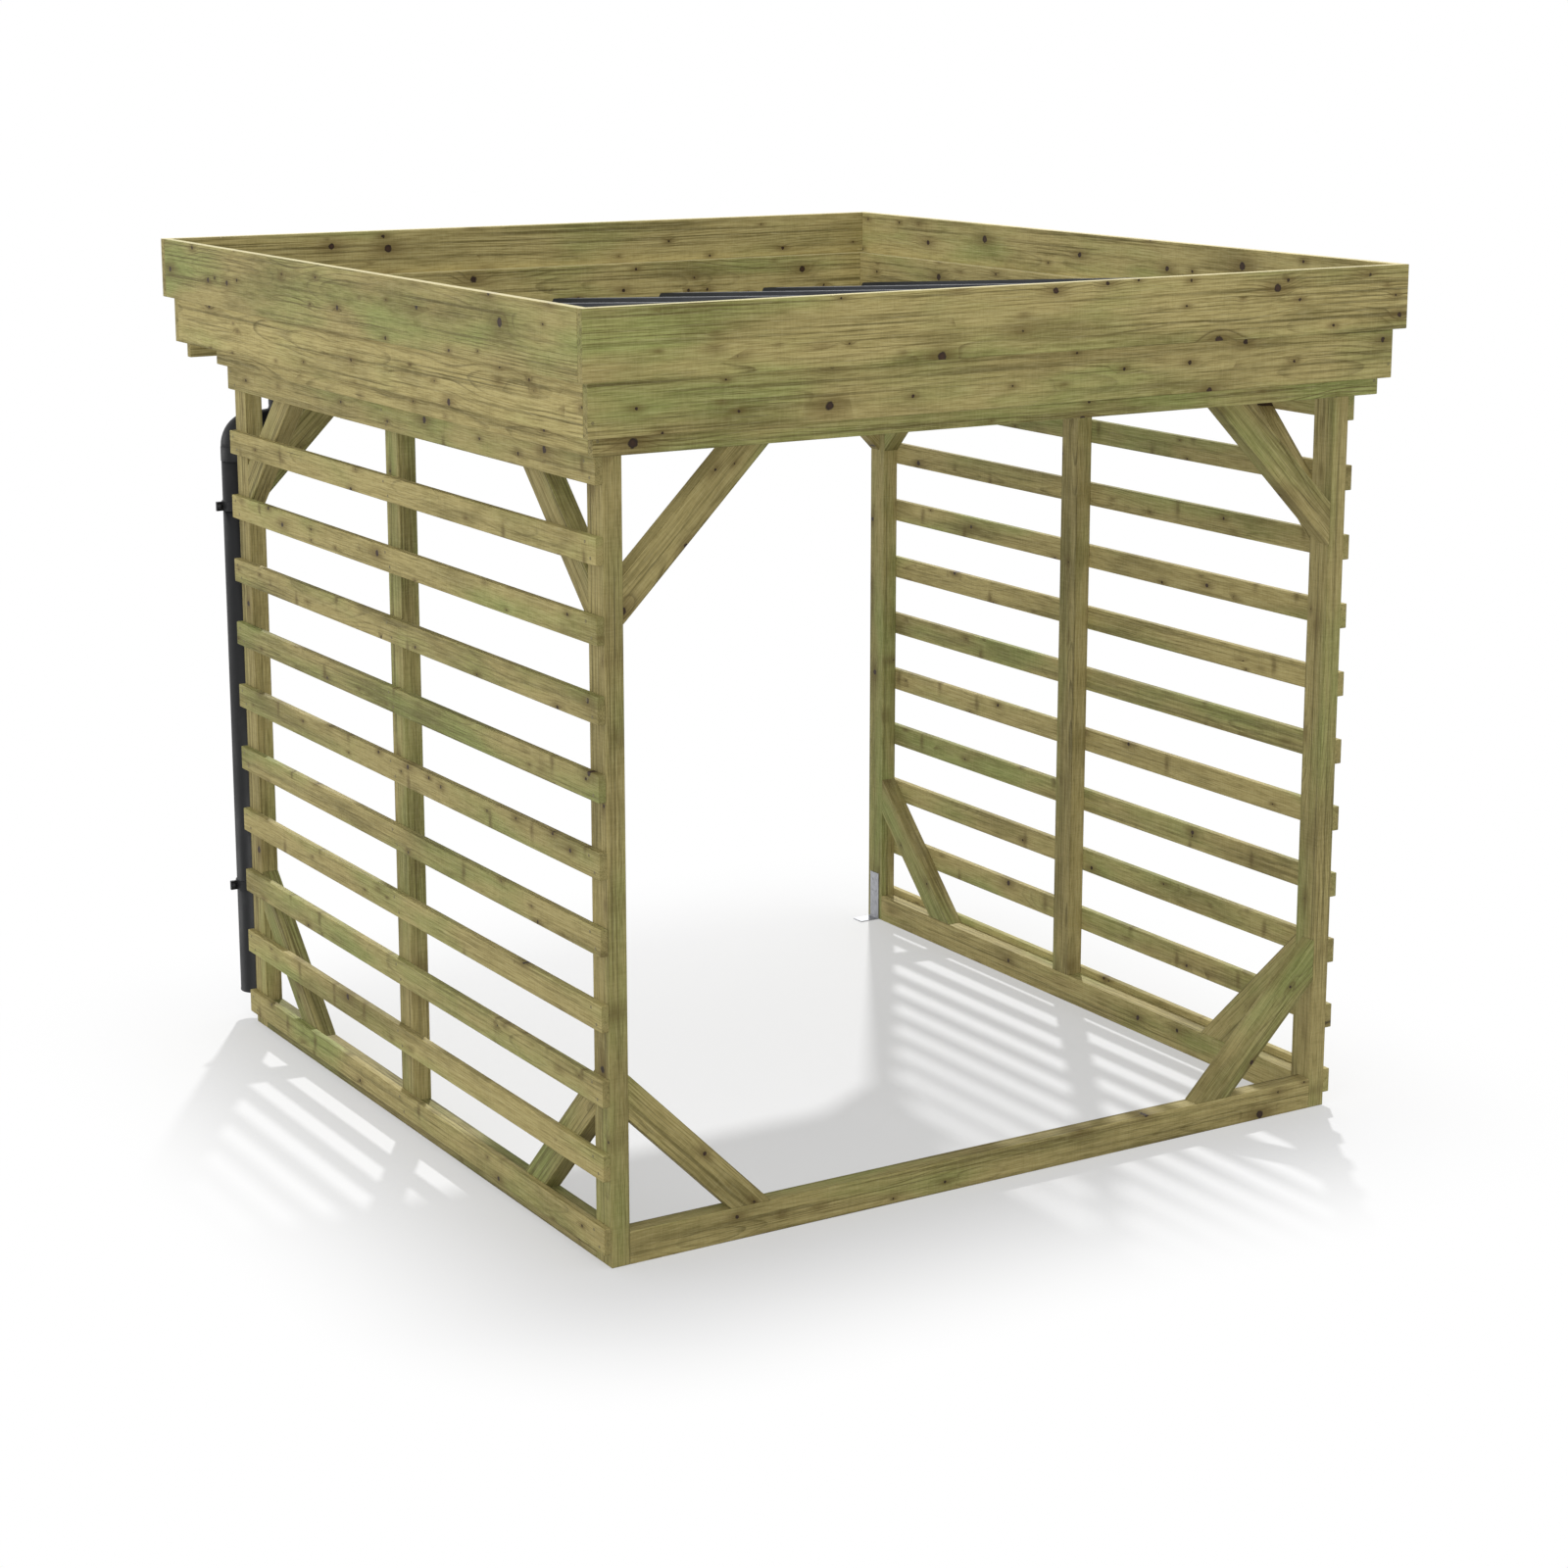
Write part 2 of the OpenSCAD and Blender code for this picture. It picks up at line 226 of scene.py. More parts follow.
# How fast each pattern of the timber changes along, across and through a board, per metre.
FIBRES = (17.0, 400.0, 400.0)
STREAKS = (1.0, 130.0, 130.0)
SAW_MARKS = (230.0, 26.0, 26.0)
CHECKS = (2.6, 210.0, 210.0)
LINE_REGIONS = (1.6, 13.0, 13.0)
PATCHES = (1.8, 7.0, 7.0)
CLOUDS = (2.4, 9.0, 9.0)
WAVERS = (2.6, 22.0, 22.0)

# Mean distances between the places of knots, small knots and wisps, along, across and through a board.
KNOT_SPREAD = (0.27, 0.10, 0.16)
TWIG_SPREAD = (0.15, 0.060, 0.12)
WISP_SPREAD = (0.21, 0.12, 0.30)

# Radii of knots: the smallest of each kind, and the span of the small kind.
KNOT_SMALLEST = 0.0038
TWIG_SMALLEST = 0.0020
TWIG_SPAN = 0.0034
# The share of places that hold a small knot, and how ragged the outline of any knot is.
TWIG_SHARE = 0.30
KNOT_RAGGED = 0.0065

# A wisp's half width along the board, its half height, how crooked it is, and the share of places with one.
WISP_WIDTH = 0.0095
WISP_HEIGHT = 0.024
WISP_CROOKED = 0.016
WISP_SHARE = 0.45

# Where the pith of the log runs: how far it sways, stands aside, dives and lies below the board's middle.
PITH_SWAY = 0.06
PITH_ASIDE = 0.13
PITH_DIVE = 0.075
PITH_BELOW = 0.022
PITH_BELOW_SPAN = 0.050
# How far the rings waver.
RING_WAVER = 0.0034

# How much lighter the board with the highest tone is than the one with the lowest.
TONE_SPAN = 0.16


def knots(g, place, spread, share, smallest, span, depth):
    """Knots spread over a board: how far a point is inside one, its rim, its dark halo and its push on the rings.

    spread is the mean distance between places, share how many of them hold a knot, and depth how round a
    knot is through the board: small on thin boards, where it runs from face to face.
    """
    away, pick = g.nearest(place, spread)
    away = g.vector("MULTIPLY", away, (spread[0], spread[1], depth))
    ragged = g.math("MULTIPLY", g.centred(g.noise(place, 130.0, 2.0)), KNOT_RAGGED)
    distance = g.math("ADD", g.vector("LENGTH", away), ragged)
    there = g.math("LESS_THAN", pick[0], share)
    radius = g.math("MULTIPLY_ADD", g.math("POWER", pick[1], 2.0), span, smallest)
    radius = g.math("MULTIPLY", radius, there)
    core = g.slope(distance, g.math("MULTIPLY", radius, 1.12), g.math("MULTIPLY", radius, 0.78))
    core = g.math("MULTIPLY", core, there)
    rim = g.slope(distance, g.math("MULTIPLY", radius, 0.35), g.math("MULTIPLY", radius, 0.95))
    drawn_out = g.vector("LENGTH", g.vector("MULTIPLY", away, (0.42, 1.0, 1.0)))
    reach = g.math("MULTIPLY_ADD", radius, 1.9, 0.002)
    halo = g.bell(g.math("POWER", g.math("DIVIDE", drawn_out, reach), 2.0))
    halo = g.math("MULTIPLY", halo, there)
    return core, rim, halo, g.math("MULTIPLY", halo, g.math("MULTIPLY_ADD", radius, 1.1, 0.003))


def growth_rings(g, grain, place, seed, ring, push):
    """The dark late wood of the growth rings, around a pith that wanders along the board.

    ring is the spacing of the rings, and push is how far the knots push them aside.
    """
    along, across, deep = g.split(grain)
    track = g.join(along, g.math("MULTIPLY", seed, 53.0), 0.0)
    sway = g.centred(g.noise(track, 0.9, 1.0, 0.4))
    dive = g.centred(g.noise(g.vector("ADD", track, (7.3, 4.1, 2.2)), 1.9, 1.0, 0.5))
    aside = g.centred(g.math("FRACT", g.math("MULTIPLY", seed, 7.31)))
    below = g.math("FRACT", g.math("MULTIPLY", seed, 3.77))
    below = g.math("MULTIPLY_ADD", below, PITH_BELOW_SPAN, PITH_BELOW)
    from_side = g.math("MULTIPLY_ADD", sway, PITH_SWAY, g.math("MULTIPLY", aside, PITH_ASIDE))
    from_side = g.math("ADD", across, from_side)
    from_below = g.math("ADD", deep, g.math("MULTIPLY_ADD", dive, PITH_DIVE, below))
    distance = g.vector("LENGTH", g.join(from_side, from_below, 0.0))
    waver = g.centred(g.pattern(place, WAVERS, 3.0, 0.6))
    distance = g.math("ADD", g.math("MULTIPLY_ADD", waver, RING_WAVER, distance), push)
    count = g.math("DIVIDE", distance, ring)
    phase = g.math("FRACT", count)
    late = g.math("MULTIPLY", g.slope(phase, 0.58, 0.92), g.slope(phase, 1.0, 0.94))
    # Some years are darker than others, and some places of the board.
    year = g.nodes.new("ShaderNodeTexWhiteNoise")
    year.noise_dimensions = "2D"
    g.feed(year.inputs["Vector"], g.join(g.math("FLOOR", count), g.math("MULTIPLY", seed, 100.0), 0.0))
    late = g.math("MULTIPLY", late, g.math("MULTIPLY_ADD", year.outputs["Value"], 0.80, 0.20))
    return g.math("MULTIPLY", late, g.slope(g.noise(place, 5.0, 2.0), 0.30, 0.62, 0.15, 1.0))


def knot_wisps(g, place):
    """Thin dark wisps across a board, where knots were cut lengthwise."""
    away, pick = g.nearest(g.vector("ADD", place, (5.3, 2.9, 0.7)), WISP_SPREAD)
    aside, upright, _ = g.split(g.vector("MULTIPLY", away, (WISP_SPREAD[0], WISP_SPREAD[1], 0.0)))
    bent = g.math("MULTIPLY", g.centred(g.noise(place, 36.0, 2.0)), WISP_CROOKED)
    wide = g.math("POWER", g.math("DIVIDE", g.math("ADD", aside, bent), WISP_WIDTH), 2.0)
    tall = g.math("POWER", g.math("DIVIDE", upright, WISP_HEIGHT), 2.0)
    return g.math("MULTIPLY", g.bell(g.math("ADD", wide, tall)), g.math("LESS_THAN", pick[0], WISP_SHARE))


def pine(name, ring, share, largest, depth, shade, lines, wisps=0.0, top_light=0.0):
    """Green-treated sawn pine cut from a log: growth rings, knots and fibres follow each board's own length.

    ring is the spacing of the growth rings, share the share of places that hold a large knot, largest the
    span of their radius, depth how round they are through the board, shade how light the timber is, lines
    how strong the rings and streaks are, wisps how strongly a knot cut lengthwise shows across the board,
    and the last argument how much paler the upward faces are painted: painted sunlight on the tops.
    """
    g = Surface(name)
    grain = g.attribute("grain", "Vector")
    seed = g.attribute("seed")
    tone = g.attribute("tone")
    # Each board is cut from its own stretch of the patterns.
    place = g.vector("ADD", grain, g.join(*(g.math("MULTIPLY", seed, far) for far in (37.0, 19.0, 11.0))))

    core, rim, halo, push = knots(g, place, KNOT_SPREAD, share, KNOT_SMALLEST, largest, depth)
    twig, twig_rim, twig_halo, twig_push = knots(
        g, g.vector("ADD", place, (3.1, 5.7, 1.3)), TWIG_SPREAD, TWIG_SHARE, TWIG_SMALLEST, TWIG_SPAN, depth * 0.6)
    late = growth_rings(g, grain, place, seed, ring, g.math("ADD", push, twig_push))

    # Fibres, thin dark lines, the marks of the saw across the board and fine drying checks.
    fibre = g.pattern(place, FIBRES, 3.0, 0.70)
    streak = g.pattern(place, STREAKS, 3.0, 0.65)
    sawn = g.pattern(place, SAW_MARKS, 2.0, 0.6)
    check = g.slope(g.pattern(place, CHECKS, 1.0, 0.5), 0.735, 0.775)
    check = g.math("MULTIPLY", check, g.slope(g.noise(place, 3.1, 1.0), 0.52, 0.62))

    # The lines are faint in some stretches of a board and strong in others.
    region = g.pattern(g.vector("ADD", place, (1.9, 8.3, 4.6)), LINE_REGIONS, 2.0, 0.5)
    drawn = g.slope(region, 0.36, 0.60, 0.28, 1.0)

    # Colour: tan and green patches, darker rings, brown halos, nearly black knots.
    patch = g.math("MULTIPLY_ADD", tone, 0.14, g.pattern(place, PATCHES, 3.0, 0.50))
    cloud = g.pattern(place, CLOUDS, 4.0, 0.6)
    colour = g.mix(g.slope(patch, 0.35, 0.64), GREEN_PINE, TAN_PINE)
    colour = g.mix(g.slope(cloud, 0.46, 0.70, 0.0, 0.60), colour, SHADED_PINE)
    colour = g.mix(g.math("MULTIPLY", g.math("MULTIPLY", late, lines), drawn), colour, LATE_WOOD)
    strong_streak = g.slope(streak, 0.48, 0.64, 0.0, 0.82 * lines)
    colour = g.mix(g.math("MULTIPLY", strong_streak, drawn), colour, DARK_STREAK)
    colour = g.mix(g.slope(streak, 0.50, 0.26, 0.0, 0.28), colour, PALE_STREAK)
    colour = g.mix(g.slope(fibre, 0.42, 0.76, 0.0, 0.54), colour, DARK_FIBRE)
    colour = g.mix(g.slope(fibre, 0.56, 0.26, 0.0, 0.26), colour, PALE_FIBRE)
    colour = g.mix(g.slope(sawn, 0.45, 0.78, 0.0, 0.15), colour, DARK_SAWN)
    colour = g.mix(g.slope(sawn, 0.52, 0.24, 0.0, 0.08), colour, PALE_SAWN)
    if wisps:
        colour = g.mix(g.math("MULTIPLY", knot_wisps(g, place), wisps), colour, WISP_BROWN)
    colour = g.mix(g.math("MULTIPLY", g.math("MAXIMUM", halo, twig_halo), 0.68), colour, HALO_BROWN)
    colour = g.mix(core, colour, g.mix(rim, KNOT_HEART, KNOT_RIM))
    colour = g.mix(twig, colour, g.mix(twig_rim, TWIG_HEART, TWIG_RIM))
    colour = g.mix(g.math("MULTIPLY", check, 0.70), colour, CHECK_BROWN)
    colour = g.mix(g.math("MULTIPLY", g.attribute("endgrain"), 0.30), colour, END_GRAIN)
    worn = g.slope(g.noise(place, 24.0, 3.0), 0.30, 0.60)
    worn = g.math("MULTIPLY", g.attribute("arris"), g.math("MULTIPLY_ADD", worn, 0.25, 0.08))
    colour = g.mix(worn, colour, WORN_EDGE)
    # Painted light: the upward faces are painted paler, as where the sun falls on them from above.
    if top_light:
        upward = g.split(g.nodes.new("ShaderNodeNewGeometry").outputs["Normal"])[2]
        colour = g.mix(g.slope(upward, 0.6, 0.95, 0.0, top_light), colour, PAINTED_TOP_LIGHT)
    level = g.math("MULTIPLY_ADD", tone, TONE_SPAN, shade)
    colour = g.mix(1.0, colour, g.join(level, level, level), "MULTIPLY")
    g.feed(g.shader.inputs["Base Color"], colour)

    rough = g.math("MULTIPLY_ADD", fibre, 0.18, 0.68)
    g.feed(g.shader.inputs["Roughness"], g.math("SUBTRACT", rough, g.math("MULTIPLY", core, 0.14)))
    g.shader.inputs["Specular IOR Level"].default_value = 0.28
    height = g.math("MULTIPLY_ADD", fibre, 0.9, g.math("MULTIPLY", late, 0.4))
    for pattern, share_of_height in ((streak, 0.5), (sawn, 0.8), (check, -2.5)):
        height = g.math("MULTIPLY_ADD", pattern, share_of_height, height)
    g.bump(height, 0.45, 0.0009)
    return g.material


def dull_steel(name):
    """The heads of wood screws: an olive coating gone dull, with a little rust in patches."""
    g = Surface(name)
    place = g.place()
    rust = g.slope(g.noise(place, 60.0, 3.0, 0.6), 0.52, 0.70, 0.0, 0.5)
    g.feed(g.shader.inputs["Base Color"], g.mix(rust, srgb(112, 104, 70), srgb(92, 70, 40)))
    g.shader.inputs["Metallic"].default_value = 0.30
    g.feed(g.shader.inputs["Roughness"], g.math("MULTIPLY_ADD", rust, 0.25, 0.55))
    g.bump(g.noise(place, 500.0, 2.0), 0.10, 0.0003)
    return g.material


def coated_steel(name, colour, rough, shine, dust=0.0):
    """Coil-coated or powder-coated steel: a fine orange-peel skin, rain streaks and dust."""
    g = Surface(name)
    place = g.place()
    streaks = g.pattern(place, (28.0, 2.2, 9.0), 4.0, 0.6)
    cloud = g.noise(place, 3.5, 4.0, 0.6)
    speck = g.slope(g.noise(place, 420.0, 2.0, 0.7), 0.66, 0.80)
    pale = tuple(c * 0.55 + 0.10 for c in colour[:3]) + (1.0,)
    dark = tuple(c * 0.72 for c in colour[:3]) + (1.0,)
    base = g.mix(g.slope(cloud, 0.35, 0.68), colour, dark)
    base = g.mix(g.slope(streaks, 0.48, 0.80, 0.0, 0.16 + dust), base, pale)
    base = g.mix(g.math("MULTIPLY", speck, 0.25 + dust), base, pale)
    g.feed(g.shader.inputs["Base Color"], base)
    weathered = g.math("ADD", cloud, g.math("MULTIPLY", streaks, 0.4))
    g.feed(g.shader.inputs["Roughness"], g.slope(weathered, 0.45, 0.95, rough, rough + 0.20))
    g.shader.inputs["Specular IOR Level"].default_value = shine
    g.bump(g.noise(place, 650.0, 2.0, 0.5), 0.10, 0.0004)
    return g.material


def galvanised(name):
    """Hot-dip galvanised steel: flat crystals of slightly different grey, dull white bloom."""
    g = Surface(name)
    place = g.place()
    crystal = g.cells(g.vector("ADD", place, (0.37, 0.11, 0.23)), 95.0)
    shade = g.split(crystal["Color"])[0]
    base = g.mix(shade, srgb(138, 139, 143), srgb(154, 155, 159))
    bloom = g.slope(g.noise(place, 30.0, 4.0, 0.6), 0.50, 0.72, 0.0, 0.5)
    base = g.mix(bloom, base, srgb(164, 165, 169))
    g.feed(g.shader.inputs["Base Color"], base)
    g.shader.inputs["Metallic"].default_value = 0.55
    g.feed(g.shader.inputs["Roughness"], g.math("MULTIPLY_ADD", shade, 0.12, 0.48))
    g.bump(g.math("ADD", shade, g.noise(place, 300.0, 2.0)), 0.12, 0.0004)
    return g.material


MATERIALS = {
    "frame_pine": pine("treated_pine_frame", ring=0.0050, share=0.95, largest=0.0078, depth=0.022,
                       shade=0.65, lines=0.88),
    "slat_pine": pine("treated_pine_slats", ring=0.0048, share=0.42, largest=0.0050, depth=0.010,
                      shade=0.76, lines=0.58, wisps=0.65),
    # The boards' upward faces get painted sunlight.
    "board_pine": pine("treated_pine_boards", ring=0.0072, share=0.80, largest=0.0085, depth=0.010,
                       shade=0.815, lines=1.0, top_light=0.55),
    "roof_steel": coated_steel("anthracite_sheet", srgb(33, 37, 43), rough=0.40, shine=0.20, dust=0.02),
    "drain_steel": coated_steel("charcoal_steel", srgb(20, 21, 23), rough=0.38, shine=0.28),
    "galvanised": galvanised("galvanised_steel"),
}


# ---------------------------------------------------------------- pieces

def finish(piece, slot, *nodes, look=None):
    """Gives a new piece its body and material, and hides the solids it stands for."""
    piece.data.materials.clear()
    piece.data.materials.append(look or MATERIALS[slot])
    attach(piece, "root")
    if nodes:
        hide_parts(*nodes)
    return piece


def new_piece(name, mesh_data):
    """An object in the scene from a bmesh, which is freed."""
    mesh = bpy.data.meshes.new(name)
    mesh_data.to_mesh(mesh)
    mesh_data.free()
    piece = bpy.data.objects.new(name, mesh)
    bpy.context.scene.collection.objects.link(piece)
    return piece


def keep_faces_flat(piece):
    """Shades the wide faces flat and only the eased edges round."""
    piece.modifiers.new("flat faces", "WEIGHTED_NORMAL").keep_sharp = True


def node_mesh(node):
    """A bmesh copy of a solid with its flat faces whole again."""
    bm = bmesh.new()
    bm.from_mesh(frame["nodes"][node].data)
    bmesh.ops.remove_doubles(bm, verts=bm.verts, dist=1e-5)
    bmesh.ops.dissolve_limit(bm, angle_limit=math.radians(0.5), verts=bm.verts, edges=bm.edges)
    return bm


def loose_parts(bm):
    """The faces of each separate solid of a bmesh, in a fixed order."""
    left, parts = set(bm.faces), []
    for start in bm.faces:
        if start not in left:
            continue
        part, edge = [], [start]
        left.discard(start)
        while edge:
            face = edge.pop()
            part.append(face)
            for near in (f for e in face.edges for f in e.link_faces):
                if near in left:
                    left.discard(near)
                    edge.append(near)
        parts.append(part)
    return parts


def corners(faces):
    """The vertices of some faces, each once, in a fixed order."""
    return list(dict.fromkeys(v for f in faces for v in f.verts))


def middle_of(node, axis):
    """The middle of a solid's box along one axis."""
    low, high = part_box(node)
    return (low[axis] + high[axis]) / 2


# ---------------------------------------------------------------- timber

# Radius of the eased edges of a board, and how round they are.
ARRIS = 0.0022
ARRIS_STEPS = 2
ARRIS_PROFILE = 0.6


def board_axes(faces):
    """Unit vectors along a board, across its wide face and through it."""
    longest = max((e for f in faces for e in f.edges), key=lambda e: e.calc_length())
    along = (longest.verts[1].co - longest.verts[0].co).normalized()
    if along[max(range(3), key=lambda i: abs(along[i]))] < 0:
        along.negate()
    flank = [f for f in faces if abs(f.normal.dot(along)) < 0.2]
    deep = max(flank, key=lambda f: f.calc_area()).normal.copy()
    across = deep.cross(along).normalized()
    return along, across, along.cross(across).normalized()


def dressed_board(faces):
    """One board's mesh with eased edges, and its own grain direction, seed and tone for the material."""
    axes = board_axes(faces)
    bm = bmesh.new()
    copies = {v: bm.verts.new(v.co) for v in corners(faces)}
    for face in faces:
        bm.faces.new([copies[v] for v in face.verts])
    bmesh.ops.recalc_face_normals(bm, faces=bm.faces)
    eased = bmesh.ops.bevel(bm, geom=bm.edges[:], offset=ARRIS, segments=ARRIS_STEPS, profile=ARRIS_PROFILE,
                            affect="EDGES")
    grain = bm.verts.layers.float_vector.new("grain")
    seed = bm.verts.layers.float.new("seed")
    tone = bm.verts.layers.float.new("tone")
    arris = bm.faces.layers.float.new("arris")
    endgrain = bm.faces.layers.float.new("endgrain")
    middle = []
    for axis in axes:
        reaches = [v.co.dot(axis) for v in bm.verts]
        middle.append((min(reaches) + max(reaches)) / 2)
    board_seed, board_tone = BOARD_RANDOM.random(), BOARD_RANDOM.random()
    for v in bm.verts:
        v[grain] = Vector([v.co.dot(axis) - m for axis, m in zip(axes, middle)])
        v[seed] = board_seed
        v[tone] = board_tone
    rounded = set(eased["faces"])
    for f in bm.faces:
        f[arris] = 1.0 if f in rounded else 0.0
        f[endgrain] = 1.0 if abs(f.normal.dot(axes[0])) > 0.6 else 0.0
        f.smooth = True
    return bm


def dressed_boards(node):
    """One piece for all boards of a node."""
    whole = bmesh.new()
    source = node_mesh(node)
    for faces in loose_parts(source):
        board = dressed_board(faces)
        part = bpy.data.meshes.new("part")
        board.to_mesh(part)
        board.free()
        whole.from_mesh(part)
        bpy.data.meshes.remove(part)
    source.free()
    piece = new_piece(node + "_wood", whole)
    keep_faces_flat(piece)
    return finish(piece, FINISH[node], node)


# ---------------------------------------------------------------- turned and swept shapes

def circle(radius, sides):
    """Points of a circle around the origin, in order."""
    turns = [2 * math.pi * i / sides for i in range(sides)]
    return [(radius * math.cos(turn), radius * math.sin(turn)) for turn in turns]


def bridge(bm, near, far):
    """The side faces between two equal closed outlines."""
    count = len(near)
    return [bm.faces.new((near[i], near[(i + 1) % count], far[(i + 1) % count], far[i])) for i in range(count)]


def bar(bm, near, far):
    """A closed bar between two equal outlines; returns its side faces."""
    sides = bridge(bm, near, far)
    bm.faces.new(near[::-1])
    bm.faces.new(far)
    return sides


def lathe(bm, profile, sides, matrix):
    """Turns an outline of (radius, height) points about the matrix's Z; a radius of 0 closes it."""
    rings = []
    for radius, height in profile:
        points = circle(radius, sides)[:sides if radius > 0 else 1]
        rings.append([bm.verts.new(matrix @ Vector((x, y, height))) for x, y in points])
    for low, high in zip(rings, rings[1:]):
        for i in range(sides):
            j = (i + 1) % sides
            quad = [low[i % len(low)], low[j % len(low)], high[j % len(high)], high[i % len(high)]]
            bm.faces.new(list(dict.fromkeys(quad))).smooth = True


def standing(spot, normal):
    """A matrix that puts its Z along normal at spot."""
    return Matrix.Translation(spot) @ Vector(normal).to_track_quat("Z", "Y").to_matrix().to_4x4()


def side_of(path):
    """The level direction square to a path that bends in an upright plane."""
    run = path[-1][0] - path[0][0]
    return UP.cross(Vector((run.x, run.y, 0)))


def sweep(bm, path, outer, inner, sides):
    """A pipe wall along path, a list of (centre, direction); its bends lie in one upright plane."""
    rings = []
    for centre, way in path:
        out = UP.cross(way)
        first = (out if out.length > 1e-6 else side_of(path)).normalized()
        second = way.cross(first).normalized()
        rings.append([[bm.verts.new(centre + x * first + y * second) for x, y in circle(radius, sides)]
                      for radius in (outer, inner)])
    for (low_out, low_in), (high_out, high_in) in zip(rings, rings[1:]):
        for face in bridge(bm, low_out, high_out) + bridge(bm, high_in, low_in):
            face.smooth = True
    for ring_out, ring_in in (rings[0], rings[-1]):
        bridge(bm, ring_out, ring_in)


# ---------------------------------------------------------------- fixings

SCREW_STEEL = dull_steel("dull_screw_steel")

# Outlines of the fixings: sides, then radius and height in metres.
WOOD_SCREW = [(12, [(0.0036, -0.0004), (0.0035, 0.0004), (0.0031, 0.0006), (0.0015, 0.0006),
                    (0.0012, -0.0008), (0, -0.0010)])]
ROOF_SCREW = [(20, [(0.0085, 0.0), (0.0085, 0.0012), (0.0075, 0.0022), (0.0045, 0.0022)]),
              (6, [(0.0048, 0.0018), (0.0048, 0.0068), (0.0040, 0.0076), (0, 0.0076)])]
BOLT = [(20, [(0.0080, -0.0004), (0.0080, 0.0012), (0.0076, 0.0015), (0.0050, 0.0015)]),
        (6, [(0.0065, 0.0012), (0.0065, 0.0056), (0.0057, 0.0064), (0, 0.0064)])]

# Two screws hold a slat to a post, this far from the post's middle and from the slat's, on opposite sides.
SLAT_SCREW_ALONG = 0.012
SLAT_SCREW_UP = 0.016
# The screws of a tier stand this far from its ends: two at an end of a board taller than TALL_BOARD, else one.
TIER_SCREW_INSET = 0.011
TALL_BOARD = 0.1


def fasteners(name, spots, shapes, slot, look=None):
    """One piece of equal screws or bolts: spots are (place, normal), shapes are (sides, profile)."""
    bm = bmesh.new()
    for place, normal in spots:
        for sides, profile in shapes:
            lathe(bm, profile, sides, standing(place, normal))
    return finish(new_piece(name, bm), slot, look=look)


def slat_heights(node):
    """The height of the middle of each slat of a side."""
    bm = node_mesh(node)
    heights = []
    for part in loose_parts(bm):
        ends = corners(part)
        heights.append(round(sum(v.co.z for v in ends) / len(ends), 4))
    bm.free()
    return sorted(set(heights))


def board_screws():
    """Countersunk screws through the slats and the middle and lower tiers."""
    spots = []
    for side, outward in (("left", -1), ("right", 1)):
        low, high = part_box(side + "_slats")
        face = low.x if outward < 0 else high.x
        posts = [middle_of(f"post_{at}_{side}", 1) for at in ("front", "middle", "back")]
        for z in slat_heights(side + "_slats"):
            for y in posts:
                spots += [((face, y + sign * SLAT_SCREW_ALONG, z + sign * SLAT_SCREW_UP), (outward, 0, 0))
                          for sign in (1, -1)]
    for tier in ("middle", "lower"):
        for at, outward in (("front", -1), ("back", 1)):
            low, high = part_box(f"{tier}_{at}_board")
            face = low.y if outward < 0 else high.y
            tall = high.z - low.z
            for x in (low.x + TIER_SCREW_INSET, high.x - TIER_SCREW_INSET):
                spots += [((x, face, low.z + tall * part), (0, outward, 0))
                          for part in ((0.22, 0.78) if tall > TALL_BOARD else (0.5,))]
    fasteners("board_screws", spots, WOOD_SCREW, "galvanised", SCREW_STEEL)


# ---------------------------------------------------------------- roof sheet

# The sheet's thickness, how far its ribs rise, and how round their edges are.
SHEET = 0.0012
RIB_RISE = 0.036
RIB_ROUNDING = 0.003
# Outline of a swage: from its middle and above the sheet. Two stand in each bay, at these shares of it.
SWAGE = [(-0.009, -0.0003), (-0.005, 0.0022), (0.005, 0.0022), (0.009, -0.0003)]
SWAGE_SHARES = (0.36, 0.64)
# They stop this far from the sheet's front and back ends.
SWAGE_END = 0.004
# The roof screws stand this far right of the ribs, and left of the last one, which lies beyond LAST_RIB_FROM.
SCREW_BESIDE_RIB = 0.045
LAST_RIB_FROM = 0.9


